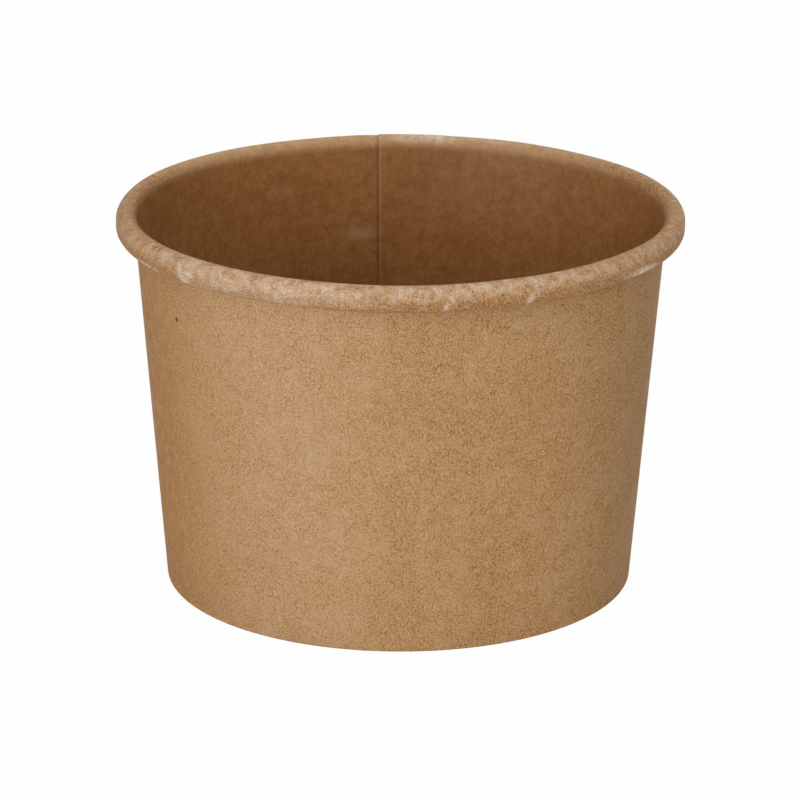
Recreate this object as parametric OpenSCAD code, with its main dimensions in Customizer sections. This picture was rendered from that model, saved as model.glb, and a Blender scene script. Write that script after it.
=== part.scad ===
// Paper soup container: a wrapped and lapped side wall with a rolled rim, sealed
// round a base disc. The axis of the container is Z and it stands on Z = 0.

/* [Container] */
// Diameter across the rolled rim
rim_d = 90; // [84:1:110]
// Diameter of the foot, where the outside of the wall would meet the table
base_d = 75; // [66:1:80]
// Height from the table to the top of the rim
cup_h = 62; // [45:1:120]

/* [Board] */
// Thickness of the side wall's board
wall_t = 0.4; // [0.3:0.02:0.5]
// Thickness of the base disc's board
disc_t = 0.3; // [0.2:0.02:0.4]
// Thickness of the melted lining between two boards that are sealed together
seal_t = 0.05; // [0.03:0.01:0.08]

/* [Rolled rim] */
// Width of the roll, from the inside of the wall to the outside of the rim
roll_w = 3.1; // [2.8:0.1:3.6]
// Height of the roll
roll_h = 4.15; // [3.8:0.05:5]
// Straight length of board that is tucked up between the roll and the wall
tuck_h = 0.9; // [0.5:0.1:1.2]
// Radius of the last turn of board inside the roll, at the middle of the board
tuck_r = 0.8; // [0.6:0.05:0.9]

/* [Base] */
// Depth of the recess under the base disc
recess_h = 7.5; // [6:0.5:14]
// Space between the top of the folded hem and the base disc
hem_clear = 1.5; // [1:0.1:3]
// Inside radius of the fold that the container stands on
fold_in_r = 0.05; // [0.03:0.01:0.1]
// Inside radius of the bend between the base disc and its skirt
corner_in_r = 0.35; // [0.2:0.05:0.6]

/* [Side seam] */
// Direction of the inner cut edge of the wall's board, in degrees about the axis
seam_angle = 95; // [0:1:355]
// Width of the overlap between the two ends of the board
lap_w = 11; // [8:0.5:16]
// Width over which the outer end of the board climbs on to the overlap
climb_w = 8; // [5:0.5:12]
// Height of the outer cut edge above the wall, after the overlap is pressed
lap_step = 0.25; // [0.1:0.05:0.3]
// Height of the overlap's lower end above the table, where the fold is pressed flat
lap_lift = 0.8; // [0.6:0.1:2]
// Width of the groove along the inner cut edge
groove_w = 0.5; // [0.4:0.05:0.8]
// Depth of the groove along the inner cut edge
groove_d = 0.14; // [0.08:0.02:0.2]

/* [Finish] */
// Largest angle between two neighbouring points of a bend, in degrees
bend_step = 12; // [6:1:15]

/* [Hidden] */
$fn = 180;

rim_r = rim_d / 2;
// Middle line of the wall's board, carried on to the table and to the top of the rim
foot_r = base_d / 2 - wall_t / 2;
top_r = rim_r - roll_w + wall_t / 2;
lean = atan2(top_r - foot_r, cup_h);
up_wall = 90 - lean;

// Distance of a point outside that line, its distance along it, and the way back
function beside(x, z) = (x - foot_r) * cos(lean) - z * sin(lean);
function along(x, z) = (x - foot_r) * sin(lean) + z * cos(lean);
function at_wall(far, out) =
    [foot_r + far * sin(lean) + out * cos(lean), far * cos(lean) - out * sin(lean)];

// The fold: two bends with a flat between them, wide enough to hold the skirt
fold_r = fold_in_r + wall_t / 2;
fold_z = fold_r + wall_t / 2;
fold_x = foot_r + (fold_z * sin(lean) - fold_r) / cos(lean);
fold_far = along(fold_x, fold_z);
hem_in = wall_t + disc_t + 2 * seal_t;
flat_w = (hem_in - 2 * fold_r) / cos(lean);
hem_from = along(fold_x - flat_w, fold_z);

// The roll: a wide bend over the top and a tighter one below it, both touching the
// rim's outside, the top one starting from the wall and the low one ending beside it
outer_x = rim_r - wall_t / 2;
roll_top = cup_h - wall_t / 2;
roll_low = cup_h - roll_h + wall_t / 2;
over_r = beside(outer_x, roll_top) / (1 + cos(lean) - sin(lean));
under_r = (beside(outer_x, roll_low) - wall_t - seal_t) / (1 + cos(lean) + sin(lean));
over_z = roll_top - over_r;
under_z = roll_low + under_r;
roll_far = along(outer_x - over_r, over_z);
tuck_far = along(outer_x - under_r, under_z);

// The base disc and its skirt, which hangs in the pocket between wall and hem
disc_z = recess_h + disc_t / 2;
corner_r = corner_in_r + disc_t / 2;
skirt_in = wall_t / 2 + seal_t + disc_t / 2;
corner_z = disc_z - corner_r;
corner_x = foot_r + (corner_z * sin(lean) - skirt_in - corner_r) / cos(lean);
skirt_h = along(corner_x, corner_z) - (wall_t + seal_t) / cos(lean);
hem_to = along(corner_x, recess_h - hem_clear);

// The seam: widths become angles about the axis at the top of the wall
function turn_of(width) = width / top_r * 180 / PI;
climb_turn = turn_of(lap_w + climb_w);
climb_shift = lap_step / (1 - cos(climb_turn));
climb_end = 1.1;
lap_bite = wall_t / 8;
// The overlap goes up under the roll as far as the room beside the wall lets it
roll_out = under_r + wall_t / 2;
lap_far = tuck_far - roll_out * sin(acos(1 - lap_step / roll_out));
groove_far = along(foot_r, recess_h + disc_t);
air = 0.5;

// Board is followed along its middle line as points [x, z, heading]. A move is
// [length] for a straight stretch, or [radius, turn] for a bend, to the left if positive.
function straight(from, length) =
    [[from[0] + length * cos(from[2]), from[1] + length * sin(from[2]), from[2]]];
function bend_point(from, side, heading) = [
    from[0] + side * (sin(heading) - sin(from[2])),
    from[1] - side * (cos(heading) - cos(from[2])),
    heading
];
function bend(from, radius, turn) =
    let (steps = ceil(abs(turn) / bend_step), side = sign(turn) * radius)
    [for (i = [1:steps]) bend_point(from, side, from[2] + turn * i / steps)];
function made(from, move) = len(move) == 1 ? straight(from, move[0]) : bend(from, move[0], move[1]);
function follow(from, moves, i = 0) =
    i == len(moves) ? [from] :
    let (stretch = made(from, moves[i]))
    concat([from], [for (k = [0:1:len(stretch) - 2]) stretch[k]],
        follow(stretch[len(stretch) - 1], moves, i + 1));

// One edge of the board: the points of its middle line, moved to the left
function edge(path, left) = [for (p = path) [p[0] - left * sin(p[2]), p[1] + left * cos(p[2])]];
function reversed(list) = [for (i = [len(list) - 1:-1:0]) list[i]];

// The board's section between two distances to the left of its middle line
module board(from, moves, low, high) {
    path = follow(from, moves);
    polygon(concat(edge(path, low), reversed(edge(path, high))));
}

// The roll's moves, over the top and down the outside, then under and back up inside
over_moves = [[over_r, -up_wall], [over_r, -90], [over_z - under_z], [under_r, -90]];
tuck_moves = [[under_r, -90 - lean], [tuck_h], [tuck_r, -90]];

module wall_section() {
    hem_top = at_wall(hem_to, -hem_in);
    fold_moves = [[hem_to - hem_from], [fold_r, 90 + lean], [flat_w], [fold_r, up_wall]];
    board([hem_top[0], hem_top[1], -90 - lean],
        concat(fold_moves, [[roll_far - fold_far]], over_moves, tuck_moves),
        -wall_t / 2, wall_t / 2);
}

// The outer end of the board, raised on the overlap. It turns about a shifted axis, so
// that it is full height at its cut edge and sinks into the round wall past the climb.
module lap() {
    low = wall_t / 2 - lap_bite;
    high = wall_t / 2 + lap_step;
    rotate(seam_angle - turn_of(lap_w))
    translate([climb_shift, 0])
    rotate_extrude(angle = climb_turn * climb_end)
    translate([-climb_shift, 0])
    polygon([at_wall(lap_lift, low), at_wall(lap_lift, high), at_wall(lap_far, high), at_wall(lap_far, low)]);
}

// The groove along the inner cut edge, up the lined face and over the rim
module seam_groove() {
    start = at_wall(groove_far, 0);
    lined = wall_t / 2;
    rotate(seam_angle - turn_of(groove_w) / 2)
    rotate_extrude(angle = turn_of(groove_w))
    board([start[0], start[1], up_wall], concat([[roll_far - groove_far]], over_moves),
        lined - groove_d, lined + air);
}

module side_wall() {
    color("#b28d61")
    difference() {
        union() {
            rotate_extrude() wall_section();
            lap();
        }
        seam_groove();
    }
}

module base_disc() {
    color("#a57e52")
    rotate_extrude()
    board([0, disc_z, 0], [[corner_x], [corner_r, -90 - lean], [skirt_h]], -disc_t / 2, disc_t / 2);
}

side_wall();
base_disc();
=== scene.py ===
# %% [markdown]
# This lesson dresses a round soup container of kraft board. The real one is made of two
# pieces: a side wall, wrapped from one flat blank and sealed where its ends overlap, and a
# base disc that hangs inside the wall's folded foot. The measured model is loaded first, and
# everything below is made in its frame: metres, +Z up, the container standing on Z = 0.

# %% The frame
import math

import bpy
import numpy as np
from mathutils import Matrix, Vector


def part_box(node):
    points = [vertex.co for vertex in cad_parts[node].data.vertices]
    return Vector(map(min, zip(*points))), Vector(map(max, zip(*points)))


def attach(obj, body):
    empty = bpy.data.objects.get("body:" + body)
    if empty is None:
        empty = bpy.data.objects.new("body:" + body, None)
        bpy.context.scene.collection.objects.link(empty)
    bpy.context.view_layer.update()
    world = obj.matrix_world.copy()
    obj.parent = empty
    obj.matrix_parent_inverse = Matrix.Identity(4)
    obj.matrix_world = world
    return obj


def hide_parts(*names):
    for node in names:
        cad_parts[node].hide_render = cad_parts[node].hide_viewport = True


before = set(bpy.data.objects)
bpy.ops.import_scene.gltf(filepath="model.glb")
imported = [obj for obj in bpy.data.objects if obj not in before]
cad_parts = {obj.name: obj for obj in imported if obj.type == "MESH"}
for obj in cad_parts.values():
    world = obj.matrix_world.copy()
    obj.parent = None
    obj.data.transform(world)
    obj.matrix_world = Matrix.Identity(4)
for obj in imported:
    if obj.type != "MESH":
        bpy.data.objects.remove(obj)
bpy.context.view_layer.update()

# %% [markdown]
# A paper container is described by few sizes. The rim, the height and the level of the base
# are read from the frame. The rest are the board's thickness and the radii of its bends, in
# millimetres, as they are in the construction: board is measured in tenths of a millimetre,
# so the lesson counts in millimetres and turns them into metres once, when a mesh is made.

# %% Sizes of the container
MM = 0.001
wall_low, wall_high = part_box("side_wall")
disc_low, disc_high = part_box("base_disc")
rim_r = (wall_high.x - wall_low.x) / 2 / MM
cup_h = wall_high.z / MM
disc_top = disc_high.z / MM

base_r = 37.5
wall_t = 0.4
disc_t = 0.3
seal_t = 0.05
roll_w = 3.1
roll_h = 4.15
tuck_h = 0.9
tuck_r = 0.8
hem_clear = 1.5
fold_r = 0.05 + wall_t / 2
corner_r = 0.35 + disc_t / 2
print(f"rim {2 * rim_r:.2f} mm across, {cup_h:.2f} mm high, base disc {disc_top:.2f} mm up")

# %% [markdown]
# The camera comes early, because each later step is judged through it. The container was
# looked at from a little above with a long lens, about 70 cm away. The view leans down by 19
# degrees and is turned and rolled by less than half a degree. Aiming at a point would lose
# those small turns, so the three angles are kept as values and the camera's axes are worked
# out from them.

# %% The camera
camera_at = Vector((1.29, -640.75, 248.88)) * MM
pitch = math.radians(18.936)
yaw = 0.0018
roll = 0.0046
sensor_mm = 36
image_px = 800
focal_px = 4164

sideways = Vector((math.cos(yaw), math.sin(yaw), 0))
ahead = Vector((-math.sin(yaw), math.cos(yaw), 0))
down = Vector((0, 0, -1))
view_line = ahead * math.cos(pitch) + down * math.sin(pitch)
view_up = ahead * math.sin(pitch) - down * math.cos(pitch)
right = sideways * math.cos(roll) + view_up * math.sin(roll)
upward = view_up * math.cos(roll) - sideways * math.sin(roll)

lens = bpy.data.cameras.new("camera")
lens.sensor_width = sensor_mm
lens.lens = sensor_mm * focal_px / image_px
lens.clip_start = 0.05
lens.clip_end = 20
camera = bpy.data.objects.new("camera", lens)
bpy.context.scene.collection.objects.link(camera)
axes = Matrix((right, upward, -view_line)).transposed().to_4x4()
camera.matrix_world = Matrix.Translation(camera_at) @ axes
bpy.context.scene.camera = camera
print(f"lens {lens.lens:.1f} mm, {camera_at.length * 1000:.0f} mm from the foot's centre")

# %% [markdown]
# Board is bent along one line at a time, so its section is a path: straight runs and round
# bends, one after the other. The section could be drawn as a curve by hand, but a path of
# radii stays true when a size changes. Walking along it gives the stations from which a
# surface is swept. A station keeps its place, the direction of travel and the distance walked,
# and that distance later lays the paper's grain on the board without any stretch.

# %% Walking along a board
bend_step = 9
run_step = 4


def straight(start, length):
    x, z, heading, far = start
    parts = max(1, round(length / run_step))
    steps = [length * part / parts for part in range(1, parts + 1)]
    return [(x + s * math.cos(heading), z + s * math.sin(heading), heading, far + s) for s in steps]


def bend(start, radius, turn):
    x, z, heading, far = start
    parts = math.ceil(abs(turn) / bend_step)
    side = math.copysign(radius, turn)
    stations = []
    for part in range(1, parts + 1):
        turned = math.radians(turn) * part / parts
        now = heading + turned
        across = x + side * (math.sin(now) - math.sin(heading))
        up = z - side * (math.cos(now) - math.cos(heading))
        stations.append((across, up, now, far + radius * abs(turned)))
    return stations


def walk(x, z, heading, moves):
    stations = [(x, z, math.radians(heading), 0.0)]
    for move in moves:
        stations += straight(stations[-1], *move) if len(move) == 1 else bend(stations[-1], *move)
    return np.array(stations)


# %% [markdown]
# The wall's path starts at the cut edge of the hem, inside the foot. It runs down, folds up
# round the foot in two tight bends, climbs the tapered wall, rolls outwards over the rim and
# ends tucked up inside the roll. All of it is placed from one sloping line, the middle of the
# wall's board: how far a point lies beside that line, how far along it, and back again.

# %% The slope of the wall
foot_r = base_r - wall_t / 2
top_r = rim_r - roll_w + wall_t / 2
lean = math.atan2(top_r - foot_r, cup_h)
lean_deg = math.degrees(lean)
sin_lean = math.sin(lean)
cos_lean = math.cos(lean)


def beside(x, z):
    return (x - foot_r) * cos_lean - z * sin_lean


def along(x, z):
    return (x - foot_r) * sin_lean + z * cos_lean


def at_wall(far, out):
    return foot_r + far * sin_lean + out * cos_lean, far * cos_lean - out * sin_lean


print(f"the wall leans out by {lean_deg:.2f} degrees")

# %% [markdown]
# At the foot the board is folded back on itself, with room for the base disc's skirt between
# its two layers. Two bends, as tight as board can take, are joined by a short flat, and on
# that flat the container stands.

# %% The fold at the foot
fold_z = fold_r + wall_t / 2
fold_x = foot_r + (fold_z * sin_lean - fold_r) / cos_lean
hem_in = wall_t + disc_t + 2 * seal_t
flat_w = (hem_in - 2 * fold_r) / cos_lean
hem_from = along(fold_x - flat_w, fold_z)
print(f"the flat of the fold is {flat_w:.2f} mm wide")

# %% [markdown]
# At the rim the board makes two bends. The wide one leaves the wall, goes over the top and
# touches the rim's widest line. The tighter one turns under and comes up beside the wall, with
# a film of lining between them. Both radii follow from the lines that the bends touch.

# %% The roll at the rim
outer_x = rim_r - wall_t / 2
roll_top = cup_h - wall_t / 2
roll_low = cup_h - roll_h + wall_t / 2
over_r = beside(outer_x, roll_top) / (1 + cos_lean - sin_lean)
under_r = (beside(outer_x, roll_low) - wall_t - seal_t) / (1 + cos_lean + sin_lean)
over_z = roll_top - over_r
under_z = roll_low + under_r
roll_far = along(outer_x - over_r, over_z)
tuck_far = along(outer_x - under_r, under_z)
print(f"the roll's radius is {over_r:.2f} mm over the rim and {under_r:.2f} mm under it")

# %% [markdown]
# The base disc's edge is bent down into a skirt that goes into the fold. Where the disc ends,
# how long its skirt is and how high the hem reaches all follow from the wall's slope.

# %% The edge of the base disc
skirt_in = wall_t / 2 + seal_t + disc_t / 2
corner_z = disc_top - disc_t / 2 - corner_r
corner_x = foot_r + (corner_z * sin_lean - skirt_in - corner_r) / cos_lean
skirt_h = along(corner_x, corner_z) - (wall_t + seal_t) / cos_lean
hem_to = along(corner_x, disc_top - disc_t - hem_clear)
print(f"the skirt starts {corner_x:.1f} mm from the axis and is {skirt_h:.1f} mm high")

# %% [markdown]
# Now the path can be walked. It is walked four times, each time one stage further, because the
# last station of each walk tells how far along the board that stage ends.

# %% The path of the wall's board
hem_moves = [(hem_to - hem_from,), (fold_r, 90 + lean_deg), (flat_w,), (fold_r, 90 - lean_deg)]
wall_moves = [(roll_far - along(fold_x, fold_z),)]
roll_moves = [(over_r, lean_deg - 90), (over_r, -90), (over_z - under_z,)]
roll_moves += [(under_r, -180 - lean_deg)]
tuck_moves = [(tuck_h,), (tuck_r, -90)]

hem_top = at_wall(hem_to, -hem_in)
stages = [hem_moves, wall_moves, roll_moves, tuck_moves]
paths = [walk(*hem_top, -90 - lean_deg, sum(stages[:count], [])) for count in range(1, 5)]
hem_end, wall_end, roll_end, board_end = (path[-1, 3] for path in paths)
board_path = paths[-1]
print(f"{len(board_path)} stations, board {board_end:.1f} mm wide, roll from {wall_end:.1f} mm")

# %% [markdown]
# The wall is sealed with its ends overlapping by 11 mm at the back. Inside, the end that lies
# on top shows as a fine step with a narrow groove beside it, darkened further by a painted
# shade, and a raised, paler lip. Outside, the other end makes a low step, with the board
# climbing on to it beside the step. Both are small rises of the board's two faces, so the sweep
# takes columns close together beside the two cut edges and even ones elsewhere.

# %% The columns round the wall
seam_angle = 95
lap_w = 11
climb_w = 8
even_columns = 288
edge_w = 0.03
turn_per_mm = 360 / (2 * math.pi * top_r)
whole_way = 360 / turn_per_mm
inner_edge_steps = [0, 0.1, 0.2, 0.36, 0.44, 0.6, 0.85, 1.2, 1.7, 2.3, 3]
lip_steps = [-edge_w, -0.1, -0.2, -0.32, -0.5, -0.7, -1]
lap_edge_steps = [-0.6, -0.3, -0.12, -edge_w / 2, edge_w / 2, 0.12, 0.3, 0.6]


def wall_columns():
    """Places round the wall, in millimetres from the inner cut edge, measured at the top."""
    close = inner_edge_steps + [whole_way + step for step in lip_steps]
    close += [whole_way - lap_w + step for step in lap_edge_steps]
    close = np.array(close)
    spacing = whole_way / even_columns
    crowded = spacing / 3
    even = np.arange(even_columns) * spacing
    apart = np.abs(even[:, None] - close[None, :]).min(1) > crowded
    return np.sort(np.concatenate([close, even[apart]]))


around = wall_columns()
print(f"{len(around)} columns round {whole_way:.1f} mm")

# %% [markdown]
# Each rise is a small height in millimetres, from two numbers: the place round the wall and
# the way along the board. A displacement map would need a far denser mesh for such sharp
# steps. A function on columns that are set for it does not. It fades in and out where the seam
# starts and ends, so that no sharp tooth is left in the skin.

# %% Rises of the two faces at the seam
notch_w = 0.4
notch_d = 0.09
ramp_d = 0.07
ramp_w = 2.2
lip_h = 0.04
lip_w = 0.5
lip_fall = 0.06
lap_step = 0.25
lap_lift = 0.8
roll_bump = 0.06
seam_fade = 1
roll_fade = 1.5
lap_fade = 0.5
lift_fade = 0.4


def ease(value, low, high):
    """Rises smoothly from 0 at low to 1 at high."""
    t = np.clip((value - low) / (high - low), 0, 1)
    return t * t * (3 - 2 * t)


def lined_rise(place, far):
    """How far the lined face stands proud, by the place round the wall and along the board."""
    notch = np.where(place <= notch_w, notch_d, ramp_d * (1 - ease(place, notch_w, ramp_w)))
    lip = lip_h * ease(place, whole_way - lip_w, whole_way - lip_w / 2)
    lip = lip - lip_fall * ease(place, whole_way - lip_w / 2, whole_way + lip_w / 4)
    before_end = 1 - ease(far, roll_end - roll_fade, roll_end)
    shown = ease(far, seam_from, seam_from + seam_fade) * before_end
    on_roll = ease(far, wall_end, wall_end + roll_fade) * before_end
    doubled = ease(place, whole_way - lap_w - lap_fade, whole_way - lap_w + lap_fade)
    return (lip - notch) * shown + roll_bump * doubled * on_roll


def kraft_rise(place, far):
    """How far the outside stands proud on the overlap, and where the board climbs on to it."""
    on_lap = (place > whole_way - lap_w).astype(float)
    climb = 1 - ease(place, 0, climb_w)
    shown = ease(far, hem_end + lap_lift - lift_fade, hem_end + lap_lift)
    shown = shown * (1 - ease(far, lap_top - lap_fade, lap_top))
    return lap_step * np.maximum(on_lap, climb) * shown


roll_out = under_r + wall_t / 2
lap_far = tuck_far - roll_out * math.sin(math.acos(1 - lap_step / roll_out))
lap_top = wall_end - (roll_far - lap_far)
seam_from = hem_end + along(foot_r, disc_top) - along(fold_x, fold_z)
print(f"seam from {seam_from:.1f} mm, lap up to {lap_top:.1f} mm along the board")

# %% [markdown]
# Nothing made of paper is perfectly round. This container is squeezed by about one per cent,
# and its rim wanders by a tenth of a millimetre. A lattice could squeeze it too, but one
# function of the angle is plainer, and as both boards go through it they still fit each other.

# %% Squeezed and wavy
squeeze = 0.0116
rim_waves = [(3, 0.10, 0.7), (5, 0.06, 2.1), (9, 0.03, 4.0)]
rim_lifts = [(2, 0.05, 1.3), (5, 0.04, 0.4), (11, 0.02, 2.2)]


def settled(points):
    """Points of the round container, moved to where they are on the real, slightly oval one."""
    angle = np.arctan2(points[..., 1], points[..., 0])
    high = np.clip(points[..., 2] / cup_h, 0, 1) ** 2
    out = sum(size * np.sin(count * angle + start) for count, size, start in rim_waves) * high
    lift = sum(size * np.sin(count * angle + start) for count, size, start in rim_lifts) * high
    moved = points.copy()
    moved[..., 0] = points[..., 0] * (1 + squeeze) + out * np.cos(angle)
    moved[..., 1] = points[..., 1] * (1 - squeeze) + out * np.sin(angle)
    moved[..., 2] = points[..., 2] + lift
    return moved


print(f"{100 * squeeze:.1f} per cent wider one way and as much narrower the other")

# %% [markdown]
# A swept board is a closed skin: its lined face, its two cut edges and its kraft face, ring
# after ring. A Screw modifier would turn the section round the axis as well, but with all its
# columns alike, and at the seam they differ. The same helper makes both boards. Each face of
# the mesh knows which finish it takes, and each corner keeps its place on the flat board in a
# map called board, in millimetres, where the finishes look up the grain.

# %% The swept skin
LINED, KRAFT, CUT = 0, 1, 2
sharp_edge = 40


def skin_points(path, columns, lined_out, kraft_out):
    """Points [column, place in the ring, xyz] for the lined face and back along the kraft one."""
    x, z, heading = path[:, 0], path[:, 1], path[:, 2]
    sides = []
    for out in (lined_out, kraft_out):
        across = x[None, :] - out * np.sin(heading)[None, :]
        up = z[None, :] + out * np.cos(heading)[None, :]
        angle = np.radians(columns)[:, None]
        parts = np.broadcast_arrays(across * np.cos(angle), across * np.sin(angle), up)
        sides.append(np.stack(parts, -1))
    return np.concatenate([sides[0], sides[1][:, ::-1]], 1)


def quads(columns, ring, closed_ring):
    """Corners (column, place in the ring) of each face between neighbouring columns."""
    places = np.arange(ring if closed_ring else ring - 1)
    column, place = np.meshgrid(np.arange(columns), places, indexing="ij")
    column, place = column.ravel(), place.ravel()
    across = [column, column + 1, column + 1, column]
    along_ring = [place, place, place + 1, place + 1]
    return np.stack(across, 1), np.stack(along_ring, 1)


def new_piece(name, points, faces, finishes, finish_of, maps):
    """A mesh object from points in millimetres, with one finish a face and maps of its corners."""
    mesh = bpy.data.meshes.new(name)
    mesh.from_pydata((points * MM).tolist(), [], faces)
    for finish in finishes:
        mesh.materials.append(finish)
    mesh.polygons.foreach_set("material_index", finish_of)
    for map_name, corners in maps.items():
        layer = mesh.uv_layers.new(name=map_name)
        layer.uv.foreach_set("vector", np.asarray(corners, np.float32).ravel())
    mesh.validate()
    mesh.shade_smooth()
    mesh.set_sharp_from_angle(angle=math.radians(sharp_edge))
    piece = bpy.data.objects.new(name, mesh)
    bpy.context.scene.collection.objects.link(piece)
    print(f"{name}: {len(mesh.vertices)} points, {len(mesh.polygons)} faces")
    return piece


# %% [markdown]
# A finish is a network of shader nodes. Written as nodes, a sum of five terms takes ten lines,
# and nobody can read what it means. So one small class wraps a socket and lets Python's own
# operators add the Math nodes: 1 - mask and 0.5 * cloud + 0.2 read as what they are. Every
# other kind of node comes from its one method, node, which sets the settings first and then
# the sockets.

# %% Sockets that can be reckoned with
class Value:
    """A socket of a finish's nodes, used like a number."""

    def __init__(self, tree, socket=None):
        self.tree = tree
        self.socket = socket

    def node(self, kind, settings=None, sockets=None, output=0):
        made = self.tree.nodes.new("ShaderNode" + kind)
        for name, setting in (settings or {}).items():
            setattr(made, name, setting)
        for name, value in (sockets or {}).items():
            if isinstance(value, Value):
                self.tree.links.new(value.socket, made.inputs[name])
            else:
                made.inputs[name].default_value = value
        return Value(self.tree, made.outputs[output] if made.outputs else None)

    def output(self, name):
        """Another output of the node that this value comes from."""
        return Value(self.tree, self.socket.node.outputs[name])

    def math(self, operation, *terms):
        return self.node("Math", {"operation": operation}, dict(enumerate(terms)))

    def __add__(self, other):
        return self.math("ADD", self, other)

    def __sub__(self, other):
        return self.math("SUBTRACT", self, other)

    def __rsub__(self, other):
        return self.math("SUBTRACT", other, self)

    def __mul__(self, other):
        return self.math("MULTIPLY", self, other)

    def __abs__(self):
        return self.math("ABSOLUTE", self)

    __radd__ = __add__
    __rmul__ = __mul__

    def sine(self):
        return self.math("SINE", self)

    def most(self, other):
        return self.math("MAXIMUM", self, other)

    def ease(self, low, high):
        """Rises smoothly from 0 where this value is low to 1 where it is high."""
        smooth = {"interpolation_type": "SMOOTHSTEP"}
        return self.node("MapRange", smooth, {0: self, 1: low, 2: high})

    def scaled(self, by):
        """This colour or vector times a value."""
        return self.node("VectorMath", {"operation": "SCALE"}, {"Vector": self, "Scale": by})

    def minus(self, other):
        return self.node("VectorMath", {"operation": "SUBTRACT"}, {0: self, 1: other})

    def length(self):
        return self.node("VectorMath", {"operation": "LENGTH"}, {0: self}, "Value")

    def parts(self):
        """The two parts of a place on the board."""
        split = self.node("SeparateXYZ", {}, {0: self})
        return split, split.output("Y")


# %% [markdown]
# A Math node would turn a colour grey, so colours are mixed by a Mix node. A colour is picked
# as it looks on a screen, but light adds up on another scale, and paint goes from the one to
# the other.

# %% Mixing colours
MIX_COLOUR = {"data_type": "RGBA"}
MIX_A, MIX_B, MIX_RESULT = 6, 7, 2


def mixed(first, second, amount):
    """The colour between two colours, where amount goes from 0 to 1."""
    return amount.node("Mix", MIX_COLOUR, {0: amount, MIX_A: first, MIX_B: second}, MIX_RESULT)


def paint(red, green, blue):
    """A colour as it looks on a screen, 0 to 255, as the linear colour that a shader takes."""
    def linear(part):
        part /= 255
        return part / 12.92 if part <= 0.04045 else ((part + 0.055) / 1.055) ** 2.4
    return linear(red), linear(green), linear(blue), 1


# %% [markdown]
# Each finish ends in one shader. Each starts from the place on the flat board, in millimetres,
# so that a pattern keeps its real size and runs on over every bend. Most patterns are made
# from soft noise round 0.

# %% A finish's start, its end and its noise
cloud_rough = 0.55
cloud_gain = 3


def new_finish(name):
    """A material without nodes, and an empty value from which its nodes are made."""
    finish = bpy.data.materials.new(name)
    finish.use_nodes = True
    finish.node_tree.nodes.clear()
    return finish, Value(finish.node_tree)


def shine(start, colour, roughness, normal, fixed):
    """The shader of a finish: what varies is linked, and what is the same all over is set."""
    sockets = {"Base Color": colour, "Roughness": roughness, "Normal": normal, **fixed}
    surface = start.node("BsdfPrincipled", {}, sockets)
    start.node("OutputMaterial", {}, {"Surface": surface})


def relief(place, height, depth):
    """The normal of a surface that stands out by that height times a depth in millimetres."""
    return place.node("Bump", {}, {"Height": height, "Distance": depth * MM, "Strength": 1.0})


def board_place(start, shift):
    """The place on the flat board in millimetres, shifted so that two boards look different."""
    flat = start.node("UVMap", {"uv_map": "board"})
    return flat.node("VectorMath", {"operation": "ADD"}, {0: flat, 1: shift})


def cloud(place, size, detail=2.0, stretch=(1, 1, 1), shift=(0, 0, 0)):
    """Soft noise round 0, about -1 to 1, with blotches of that size in millimetres."""
    moved = place.node("Mapping", {}, {"Vector": place, "Location": shift, "Scale": stretch})
    sockets = {"Vector": moved, "Scale": 1 / size, "Detail": detail, "Roughness": cloud_rough}
    return (place.node("TexNoise", {"noise_dimensions": "2D"}, sockets) - 0.5) * cloud_gain


# %% [markdown]
# Kraft board is unbleached wood pulp. From a step away it is one warm tan, but close up it is
# a felt of short curled fibres, some darker and some paler than their neighbours, lying every
# way. Most are finer than a quarter of a millimetre and overlap into a grain of small curls. A
# picture of kraft would be quicker, but it repeats, and it keeps the light that it was taken
# in. Soft noise makes the curls instead: the line along which it passes its middle value
# wanders, and a second noise breaks that line into short strokes.

# %% Curled grain
def curls(place, size, width, shift):
    """Short curled strokes of about that size in millimetres: 0 beside them, 1 on them."""
    line = abs(cloud(place, size, 1, shift=shift))
    broken = cloud(place, size * 0.7, 0, shift=(shift[1], shift[0] + 50, 0))
    return (1 - line.ease(width * 0.3, width)) * broken.ease(-0.3, 0.2)


# %% [markdown]
# Longer fibres lie singly on top of the grain. Each is one stroke in a cell of a Voronoi
# pattern: the cell's own random colour turns it, bends it and sets its strength, and so no
# two strokes are alike.

# %% Single fibres
def fibres(place, cell, length, width, shift):
    """Bent strokes, one in each cell: 0 beside a fibre and up to 1 on it, in millimetres."""
    moved = place.node("Mapping", {}, {"Vector": place, "Location": shift})
    sockets = {"Vector": moved, "Scale": 1 / cell, "Randomness": 1.0}
    chance = moved.node("TexVoronoi", {"voronoi_dimensions": "2D"}, sockets, "Color")
    turn, bow = chance.parts()
    weight = turn.output("Z")
    away = moved.minus(chance.output("Position"))
    sockets = {"Vector": away, "Angle": turn * (2 * math.pi)}
    turned = away.node("VectorRotate", {"rotation_type": "Z_AXIS"}, sockets)
    run, off = turned.parts()
    line = abs(off + (bow - 0.5) * run * run * (3 / length))
    stroke = (1 - line.ease(width * 0.3, width)) * (1 - abs(run).ease(length * 0.6, length))
    return stroke * weight


# %% [markdown]
# Some marks have a place of their own: a black grain in the pulp, a scratch, a crease. They
# could be painted on an image, but as rows of numbers they stay sharp from close by and are
# easy to move. Each is an ellipse, given by its degrees round the container, its millimetres
# along the board, its length and width, the slant of its length and its strength. A Mapping
# node of the Texture kind turns an ellipse into a round disc, and the distance from its middle
# is the mask.

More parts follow.
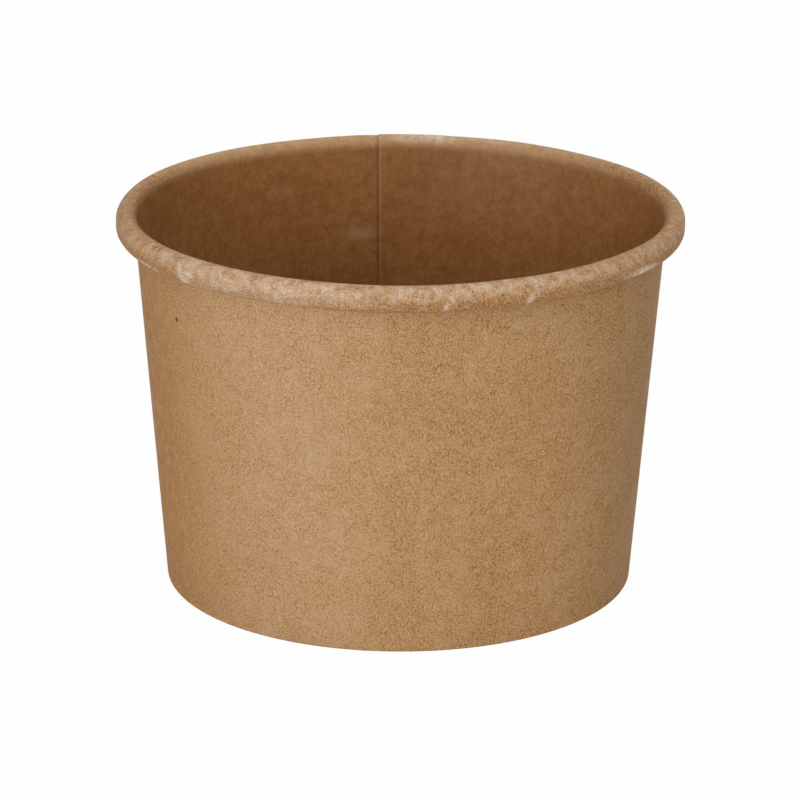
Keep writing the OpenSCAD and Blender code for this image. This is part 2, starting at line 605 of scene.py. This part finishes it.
# %% Marks with a place
def marks(place, shift, rows, hard):
    """Up to 1 in the middle of each mark. Their edges go from soft, 0, to hard, 1."""
    total = None
    for angle, far, length, width, slant, strength in rows:
        at = ((angle - seam_angle) % 360 / turn_per_mm + shift[0], far + shift[1], 0)
        sockets = {"Vector": place, "Location": at, "Rotation": (0, 0, math.radians(slant)),
                   "Scale": (length / 2, width / 2, 1)}
        away = place.node("Mapping", {"vector_type": "TEXTURE"}, sockets).length()
        mask = (1 - away.ease(hard * 0.8, 1.25 - 0.1 * hard)) * strength
        total = mask if total is None else total.most(mask)
    return total


# %% [markdown]
# The curls together make a felt: two sizes of pale strokes and two of dark ones, drawn out a
# little up the wall. Among them the fibres lie side by side in bent bundles. The sine of a
# slow noise gives such rows, and a second noise lets them come and go.

# %% Felt and rows
felt_scale = (1.25, 1.05, 1)


def felt(place, shift):
    """Pale and dark strokes that curl and cross as the pulp does: 0 beside them, 1 on them."""
    near = place.node("Mapping", {}, {"Vector": place, "Location": shift, "Scale": felt_scale})
    pale = curls(near, 0.66, 0.20, (23, 29, 0)) + curls(near, 0.42, 0.26, (7, 61, 0))
    dark = curls(near, 0.64, 0.20, (2, 17, 0)) + curls(near, 0.40, 0.26, (41, 9, 0))
    return pale, dark


def waves(place, size, turns, shift):
    """Rows of fibres that lie side by side in bent bundles, pale, 1, and dark, -1, in turn."""
    near = place.node("Mapping", {}, {"Vector": place, "Location": shift, "Scale": felt_scale})
    bundle = (cloud(near, size, 1) * turns).sine()
    return bundle * (cloud(near, size * 0.6, 0, shift=(50, 20, 0)) * 0.8 + 0.5).ease(0, 1)


# %% [markdown]
# The kraft outside is nearly matt. Its colour wanders between a warm tan and a paler, pinkish
# one in clouds of a few millimetres, and much more from fibre to fibre, pale over dark. The
# same fibres stand out from the surface by a few thousandths of a millimetre. One broad place
# is browner. A paler band at the front left is a painted sheen, and a place at the right is
# darkened as a painted shade. The specks are where this container has them.
# A fine dark line follows the outer cut edge, where the step keeps the light out.

# %% Colours and marks of the kraft face
fibre_pale = paint(205, 166, 121)
fibre_dark = paint(131, 87, 26)
# also the colour of the painted sheen at the front left
bloom_and_sheen_tan = paint(205, 175, 140)
warm_brown = paint(166, 114, 54)
shive_brown = paint(40, 24, 12)
warm_places = [(192.0, 35.0, 54.0, 140.0, 0, 0.5)]
# a paler band at the front left: a painted sheen
painted_sheen_places = [(243.5, 40.0, 46.0, 200.0, 0, 0.12)]
# a place at the right, darkened: a painted shade
painted_shade_places = [(343.0, 40.0, 46.0, 140.0, 0, 0.13)]
kraft_specks = [
    (214.0, 56.3, 0.85, 0.62, 85, 1.0),
    (286.4, 62.3, 1.35, 0.16, 58, 0.8),
    (238.5, 60.4, 0.35, 0.20, 20, 0.5),
    (239.7, 11.1, 1.10, 0.16, 95, 0.45),
    (275.8, 17.2, 1.50, 0.15, 35, 0.45),
    (261.0, 34.0, 0.90, 0.14, 140, 0.35),
    (301.5, 44.5, 0.70, 0.14, 75, 0.4),
    (131.0, 38.0, 0.40, 0.25, 10, 0.8),
    (40.0, 22.0, 1.20, 0.16, 120, 0.6),
    (352.0, 50.0, 0.50, 0.20, 60, 0.7),
]
lap_line_in = 0.08
lap_line_out = 0.26
lap_line_dark = 0.45
kraft_relief = 0.003
kraft_gloss = 0.03
print(len(kraft_specks), "specks on the kraft face")

# %% [markdown]
# The grain's parts add up to one level, which picks a colour between the dark and the pale
# fibre. What lies broader is mixed over it: clouds, the browner place of this container's
# wall, the painted sheen and the painted shade, the line at the outer cut edge and the specks.

# %% The kraft outside
def kraft_finish(name, shift, specks):
    finish, start = new_finish(name)
    place = board_place(start, shift)
    broad = cloud(place, 14, 2)
    cloudy = cloud(place, 5, 2, shift=(83, 11, 0))
    patch = cloud(place, 2.0, 0, shift=(31, 7, 0))
    grain = cloud(place, 0.16, 0, shift=(5, 43, 0))
    pale, dark = felt(place, (0, 0, 0))
    long_pale = fibres(place, 1.9, 1.1, 0.13, (37, 13, 0))
    long_dark = fibres(place, 2.1, 1.1, 0.13, (11, 3, 0))
    rows = waves(place, 0.9, 7, (0, 0, 0)) + waves(place, 0.6, 5, (90, 30, 0))
    above = 0.27 * pale.most(1.3 * long_pale)
    below = 0.30 * dark.most(1.6 * long_dark)
    level = 0.21 * grain + 0.16 * rows + above - below
    colour = mixed(fibre_dark, fibre_pale, level + 0.505)
    colour = mixed(colour, bloom_and_sheen_tan, 0.08 * patch + 0.12 * cloudy + 0.09 * broad + 0.07)
    if specks:
        warm = marks(place, shift, warm_places, 0) * (1 + 0.7 * cloudy + 0.7 * patch)
        colour = mixed(colour, warm_brown, warm)
        # painted sheen: a paler band where the lamp at the left glances off the wall
        colour = mixed(colour, bloom_and_sheen_tan, marks(place, shift, painted_sheen_places, 0))
        # painted shade that darkens the right side of the wall
        colour = colour.scaled(1 - marks(place, shift, painted_shade_places, 0))
        beyond_lap = place.parts()[0] - shift[0] - (whole_way - lap_w)
        line = 1 - abs(beyond_lap + lap_line_in).ease(lap_line_in, lap_line_out)
        colour = colour.scaled(1 - lap_line_dark * line)
        colour = mixed(colour, shive_brown, marks(place, shift, specks, 0.6))
    height = pale + long_pale * 1.5 - dark * 0.6 + long_dark + grain * 0.5
    normal = relief(place, height, kraft_relief)
    shine(start, colour, 0.6 + 0.05 * patch, normal, {"Specular IOR Level": kraft_gloss})
    return finish


# %% [markdown]
# The inner face and the rim carry a thin plastic lining. Inside the bowl it wets the board, so
# that the brown is deeper and the grain shows only as soft clouds, with faint streaks up the
# wall from the winding. In this light it hardly shines. Where the board is rolled over the rim
# the lining is stretched and parts from the fibres below it. The roll is paler and hazy on top
# and most of all in front, partly from that stretched lining and partly as a painted highlight.
# It is browner below, and paler and smoother at the rear. Hard bent places go quite white in
# fine grains: a curl of crossing creases and several short ones. The band along the front is
# partly such grains and partly a painted highlight, and the two thin lines under the curl are
# painted reflections of the white floor. Colours and marks come first.

# %% Colours and marks of the lining
lined_brown = paint(162, 114, 67)
lined_deep = paint(151, 102, 57)
rim_pale = paint(208, 168, 125)
rim_dark = paint(136, 91, 46)
# also the colour of the rim's painted highlights and painted reflections
stress_and_highlight_white = paint(232, 218, 200)
stress_and_highlight_marks = [
    (225.8, 69.6, 4.8, 2.0, -20, 0.6),
    (222.4, 71.2, 3.8, 2.6, -75, 0.65),
    (223.2, 72.8, 3.2, 2.2, 35, 0.7),
    (225.6, 73.2, 3.6, 1.6, 25, 0.4),
    (224.6, 71.4, 4.0, 3.2, 60, 0.6),
    (228.0, 70.9, 5.0, 3.0, 0, 0.35),
    # a band along the front: partly whitened grains, partly a painted highlight
    (235.0, 71.9, 16.0, 4.2, -4, 0.32),
    (248.0, 71.6, 16.0, 4.6, -3, 0.38),
    (259.0, 71.2, 12.0, 4.0, 4, 0.30),
    # two thin lines under the curl: painted reflections of the white floor
    (209.5, 73.4, 8.0, 1.7, 0, 1.0),
    (327.0, 72.8, 10.0, 1.6, 0, 0.9),
    (270.0, 69.9, 8.0, 1.8, 3, 0.35),
    (277.6, 69.9, 3.0, 2.0, 10, 0.6),
    (280.2, 71.4, 2.4, 1.1, 70, 0.5),
    (279.0, 72.8, 2.4, 1.1, 105, 0.7),
    (296.6, 69.6, 3.6, 1.8, 60, 0.55),
    (297.4, 71.0, 3.4, 1.8, 100, 0.5),
    (296.2, 72.5, 2.6, 1.6, 120, 0.6),
    (304.6, 69.9, 2.8, 1.4, 50, 0.35),
    (334.6, 69.6, 4.4, 0.5, 75, 0.6),
    (331.5, 70.6, 4.0, 0.5, 60, 0.4),
    (325.4, 71.1, 2.2, 1.2, 30, 0.45),
    (4.2, 69.5, 3.0, 2.0, 80, 0.5),
    (88.0, 68.6, 8.0, 3.0, 0, 0.55),
    (82.0, 68.6, 10.0, 3.0, 0, 0.75),
    (72.0, 68.8, 18.0, 2.0, 2, 0.4),
    (184.0, 69.0, 3.6, 0.4, 85, 0.4),
    (190.5, 69.4, 3.6, 0.4, 80, 0.35),
    (351.0, 69.5, 3.6, 0.4, 95, 0.35),
]
lining_scuffs = [
    (99.5, 51.8, 8.0, 2.6, 2, 0.12),
    (118.0, 60.0, 6.0, 3.6, 20, 0.06),
]
lining_specks = [
    (95.7, 66.3, 0.45, 0.4, 0, 0.9),
    (150.0, 60.0, 0.3, 0.2, 30, 0.7),
]
# painted shade in the groove beside the inner cut edge
groove_shade_amount = 0.27
lip_pale = 0.06
lining_relief = 0.008
lining_gloss = 0.02
print(len(stress_and_highlight_marks), "stress marks,", len(lining_scuffs), "scuffs")

# %% [markdown]
# The wetted board has two close browns, which soft noise of several sizes mixes and makes a
# little lighter or darker. The wall's lining then takes its scuffs, its rim and its seam. The
# base disc's has none of these.

# %% The lined face
def lined_finish(name, shift, rolled):
    finish, start = new_finish(name)
    place = board_place(start, shift)
    broad = cloud(place, 9, 3)
    patch = cloud(place, 1.9, 3, shift=(31, 7, 0))
    grain = cloud(place, 0.5, 2, shift=(5, 43, 0))
    streaks = cloud(place, 1.6, 2, stretch=(1, 0.12, 1), shift=(3, 19, 0))
    fleck = cloud(place, 0.7, 2, shift=(47, 3, 0))
    light = 1 + 0.02 * broad + 0.06 * patch + 0.07 * fleck + 0.05 * grain + 0.03 * streaks
    hue = (broad * 0.3 + patch * 0.45 + fleck * 0.3 + 0.5).ease(0, 1)
    colour = mixed(lined_deep, lined_brown, hue).scaled(light)
    height = grain * 0.3 + patch + streaks
    if rolled:
        colour = mixed(colour, stress_and_highlight_white, marks(place, shift, lining_scuffs, 0))
        colour, grown = rim_colour(place, shift, colour)
        colour = seam_colour(place, shift, colour)
        height = height + grown
    normal = relief(place, height, lining_relief)
    shine(start, colour, 0.58 + 0.05 * patch, normal, {"Specular IOR Level": lining_gloss})
    return finish


# %% [markdown]
# Two things are laid over the lined face by their place. Along the inner cut edge runs a
# groove darkened by a painted shade, and on its other side a lip that is a little paler. On the
# roll the rim's own colour takes over, with the felt showing through and the stress marks,
# among them painted highlights and reflections, broken up into fine grains. The roll's parts
# are given in millimetres past the wall's end, and those round the container as shares of the
# whole way.

# %% The seam and the rim
roll_starts = (-0.9, 0.6)
top_starts = (0.6, 2.4)
top_ends = (3.9, 5.5)
front_at = 0.455
front_fades = (0.06, 0.17)
rear_fades = (0.28, 0.4)


def seam_colour(place, shift, colour):
    """The painted shade of the groove beside the inner cut edge and the paler lip along it."""
    beyond = place.parts()[0] - shift[0]
    # painted shade: the groove's dark line is shade, painted into the colour
    painted_groove_shade = 1 - beyond.ease(notch_w * 0.7, notch_w * 2)
    lip = beyond.ease(whole_way - lip_w, whole_way - lip_w * 0.5)
    return mixed(colour, stress_and_highlight_white, lip * lip_pale).scaled(1 - groove_shade_amount * painted_groove_shade)


def rim_colour(place, shift, inside):
    """The lined face's colour with the rolled rim's put in its place, and the rim's relief."""
    beyond, far = place.parts()
    share = (beyond - shift[0]) * (1 / whole_way)
    past = far - (shift[1] + wall_end)
    on_roll = past.ease(*roll_starts)
    top = past.ease(*top_starts) - past.ease(*top_ends)
    front = 1 - abs(share - front_at).ease(*front_fades)
    rear = abs(share - 0.5).ease(*rear_fades)
    patch = cloud(place, 1.4, 2, shift=(13, 71, 0))
    grain = cloud(place, 0.24, 1, shift=(67, 5, 0))
    pale, dark = felt(place, (100, 0, 0))
    strokes = (0.18 * grain + 0.34 * pale - 0.36 * dark) * (1 - 0.75 * rear)
    # paler on top: partly the stretched lining, partly a painted highlight
    tone = strokes + 0.16 * patch + 0.13 * top + 0.22 * rear + 0.38 - 0.02 * front
    base = mixed(rim_dark, rim_pale, tone)
    worn = cloud(place, 1.1, 0, shift=(19, 23, 0))
    broken = (cloud(place, 0.32, 1, shift=(9, 83, 0)) + 0.6 * worn).ease(-0.6, 0.6)
    # the marks include painted highlights and painted reflections
    cracks_and_highlights = marks(place, shift, stress_and_highlight_marks, 0) * (0.35 + 0.65 * broken)
    # haze on top and in front: partly the stretched lining, partly a painted highlight
    haze_and_highlight = cloud(place, 2.4, 1, shift=(5, 97, 0)) * 0.16 + worn * 0.16 + 0.17
    haze_and_highlight = haze_and_highlight * (0.6 + 0.45 * front) * top
    base = mixed(base, stress_and_highlight_white, cracks_and_highlights.most(haze_and_highlight))
    base = mixed(base, shive_brown, marks(place, shift, lining_specks, 0.6))
    return mixed(inside, base, on_roll), (pale - 0.5 * dark + patch) * on_roll


# %% [markdown]
# A cut edge shows the board's inside: raw, dry fibres, paler than either face.

# %% The cut edge
raw_dark = paint(176, 138, 96)
raw_pale = paint(206, 172, 130)
raw_rough = 0.95
raw_gloss = 0.2
raw_relief = 0.01


def cut_finish(name):
    finish, start = new_finish(name)
    place = board_place(start, (0, 0, 0))
    grain = cloud(place, 0.15, 2)
    colour = mixed(raw_dark, raw_pale, (grain * 0.5 + 0.5).ease(0, 1))
    normal = relief(place, grain, raw_relief)
    shine(start, colour, raw_rough, normal, {"Specular IOR Level": raw_gloss})
    return finish


wall_finishes = [
    lined_finish("wall_lined_face", (0, 0, 0), True),
    kraft_finish("wall_kraft_face", (0, 300, 0), kraft_specks),
    cut_finish("cut_board"),
]
for finish in wall_finishes:
    print(f"{finish.name}: {len(finish.node_tree.nodes)} nodes")

# %% [markdown]
# The wall is swept first. Its ring runs up the lined face and back down the kraft one, and the
# columns close on themselves at the seam. The face between the last column and the first is
# the inner cut edge, and the one across the outer step is the outer cut edge.

# %% The side wall
def side_wall_piece():
    far = board_path[:, 3]
    place = around[:, None]
    lined_out = wall_t / 2 + lined_rise(place, far[None, :])
    kraft_out = -wall_t / 2 - kraft_rise(place, far[None, :])
    columns = seam_angle + around * turn_per_mm
    grid = skin_points(board_path, columns, lined_out, kraft_out)
    count, ring = grid.shape[:2]
    column, step = quads(count, ring, True)
    faces = (column % count) * ring + step % ring
    stations = len(board_path)
    first = step[:, 0]
    finish_of = np.where(first < stations - 1, LINED, np.where(first < stations, CUT, KRAFT))
    finish_of[first == ring - 1] = CUT
    last_column = column[:, 0] == count - 1
    finish_of[(finish_of == LINED) & last_column] = CUT
    lap_edge = np.searchsorted(around, whole_way - lap_w) - 1
    finish_of[(finish_of == KRAFT) & (column[:, 0] == lap_edge)] = CUT
    ring_far = np.concatenate([far, far[::-1]])
    u = np.append(around, whole_way)[column]
    v = ring_far[step % ring]
    flat = np.stack([u, v], -1).reshape(-1, 2)
    points = settled(grid.reshape(-1, 3))
    return new_piece("side_wall_board", points, faces[:, ::-1].tolist(), wall_finishes, finish_of,
                     {"board": flat.reshape(len(faces), 4, 2)[:, ::-1]})


side_wall = side_wall_piece()
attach(side_wall, "root")
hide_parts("side_wall")

# %% [markdown]
# The base disc is a second board, pressed down at its edge into a skirt that the folded foot
# holds. It dips a little towards its middle, as a disc does that dried between warm tools.

# %% The base disc
disc_columns = 180
disc_dip = 0.25
disc_steps = 12


def disc_piece():
    moves = [(corner_x * (1 - 1 / disc_steps),), (corner_r, -90 - lean_deg), (skirt_h,)]
    path = walk(corner_x / disc_steps, disc_top - disc_t / 2, 0, moves)
    dip = disc_dip * (1 - np.clip(path[:, 0] / corner_x, 0, 1) ** 2)
    path[:, 1] -= dip
    half = np.full((1, len(path)), disc_t / 2)
    columns = np.arange(disc_columns) * 360 / disc_columns
    grid = skin_points(path, columns, half, -half)
    count, ring = grid.shape[:2]
    column, step = quads(count, ring, False)
    faces = (column % count) * ring + step
    stations = len(path)
    first = step[:, 0]
    finish_of = np.where(first < stations - 1, LINED, np.where(first < stations, CUT, KRAFT))
    middle = np.array([[0, 0, disc_top - disc_dip], [0, 0, disc_top - disc_t - disc_dip]])
    points = settled(np.concatenate([grid.reshape(-1, 3), middle]))
    each = np.arange(count)
    following = (each + 1) % count
    top_middle = np.full(count, count * ring)
    top_fan = np.stack([each * ring, top_middle, following * ring], 1)
    low_fan = np.stack([following * ring + ring - 1, top_middle + 1, each * ring + ring - 1], 1)
    all_faces = faces[:, ::-1].tolist() + top_fan[:, ::-1].tolist() + low_fan[:, ::-1].tolist()
    finish_of = np.concatenate([finish_of, np.full(count, LINED), np.full(count, KRAFT)])
    corners = np.concatenate([points[face][:, :2] for face in all_faces])
    finishes = [
        lined_finish("disc_lined_face", (400, 0, 0), False),
        kraft_finish("disc_kraft_face", (400, 300, 0), []),
        bpy.data.materials["cut_board"],
    ]
    return new_piece("base_board", points, all_faces, finishes, finish_of, {"board": corners})


base_board = disc_piece()
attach(base_board, "root")
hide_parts("base_disc")

# %% [markdown]
# The container stands on a white floor under a faint white sky. More light could turn a grey
# floor white, but it would bleach the container too. So the floor's own material is plain white
# to the camera and to gloss, and for the rest it is a matt floor that takes a soft shadow.

# %% The floor
floor_size = 6.0
floor_white = 0.94
floor_glow = 0.97


def white_floor():
    finish, start = new_finish("white_sweep")
    path = start.node("LightPath")
    seen = path.output("Is Camera Ray").most(path.output("Is Glossy Ray"))
    seen = seen.most(path.output("Is Transmission Ray"))
    matt = start.node("BsdfDiffuse", {}, {"Color": (floor_white, floor_white, floor_white, 1)})
    glow = start.node("Emission", {}, {"Color": (1, 1, 1, 1), "Strength": 1.0})
    surface = start.node("MixShader", {}, {0: seen * floor_glow, 1: matt, 2: glow})
    start.node("OutputMaterial", {}, {"Surface": surface})
    half = floor_size / 2
    corners = [(-half, -half, 0), (half, -half, 0), (half, half, 0), (-half, half, 0)]
    mesh = bpy.data.meshes.new("floor")
    mesh.from_pydata(corners, [], [(0, 1, 2, 3)])
    mesh.materials.append(finish)
    floor = bpy.data.objects.new("floor", mesh)
    bpy.context.scene.collection.objects.link(floor)


white_floor()
print(f"floor {floor_size:.0f} m across")

# %% [markdown]
# The sky is white to the camera only. To the container it is much fainter, and fills the
# shadows evenly from all sides.

# %% The sky
sky_light = 0.2


def white_sky():
    sky = bpy.data.worlds.new("sky")
    bpy.context.scene.world = sky
    sky.use_nodes = True
    sky.node_tree.nodes.clear()
    start = Value(sky.node_tree)
    path = start.node("LightPath")
    seen = path.output("Is Camera Ray")
    strength = seen * (1 - sky_light) + sky_light
    glow = start.node("Background", {}, {"Color": (1, 1, 1, 1), "Strength": strength})
    start.node("OutputWorld", {}, {"Surface": glow})


white_sky()
print(f"sky of strength {sky_light}")

# %% [markdown]
# The main lamp stands low in front, a little to the left, so that the round wall goes from
# light to shade and little light falls deep into the bowl. A weaker one stands high behind it,
# one stands at the right, and a broad one above lights the rim and gives it a soft shadow on
# the wall. Two more do half of a lamp's work. The sheen lamp at the left makes gloss alone, as
# board is so matt that a plain lamp leaves no veil of light along its left side. The back lamp
# lights the rear in soft light alone and leaves no glint.

# %% The lamps
lamp_away = 1.2


def soft_lamp(name, azimuth, height, size, power):
    """A square lamp that faces the container from azimuth and height, in degrees."""
    light = bpy.data.lights.new(name, "AREA")
    light.size = size
    light.energy = power
    lamp = bpy.data.objects.new(name, light)
    bpy.context.scene.collection.objects.link(lamp)
    turn, lift = math.radians(azimuth), math.radians(height)
    level = math.cos(lift)
    way = Vector((math.sin(turn) * level, -math.cos(turn) * level, math.sin(lift)))
    lamp.location = way * lamp_away + Vector((0, 0, cup_h / 2 * MM))
    lamp.rotation_euler = (-way).to_track_quat("-Z", "Y").to_euler()
    print(f"{name}: {power} W from {azimuth} degrees round and {height} degrees up")
    return lamp


soft_lamp("front_lamp", -22, 9, 0.5, 5.85)
soft_lamp("high_lamp", -22, 45, 0.6, 2.8)
soft_lamp("right_lamp", 85, 30, 0.6, 2.9)
soft_lamp("top_lamp", 0, 90, 0.9, 5.0)
sheen_lamp = soft_lamp("sheen_lamp", -47, 3, 0.5, 230)
sheen_lamp.visible_diffuse = False
back_lamp = soft_lamp("back_lamp", 165, 8, 0.6, 2.4)
back_lamp.visible_glossy = False

# %% [markdown]
# Last, the render's colours are taken as they are.

# %% The end
bpy.context.scene.view_settings.view_transform = "Standard"
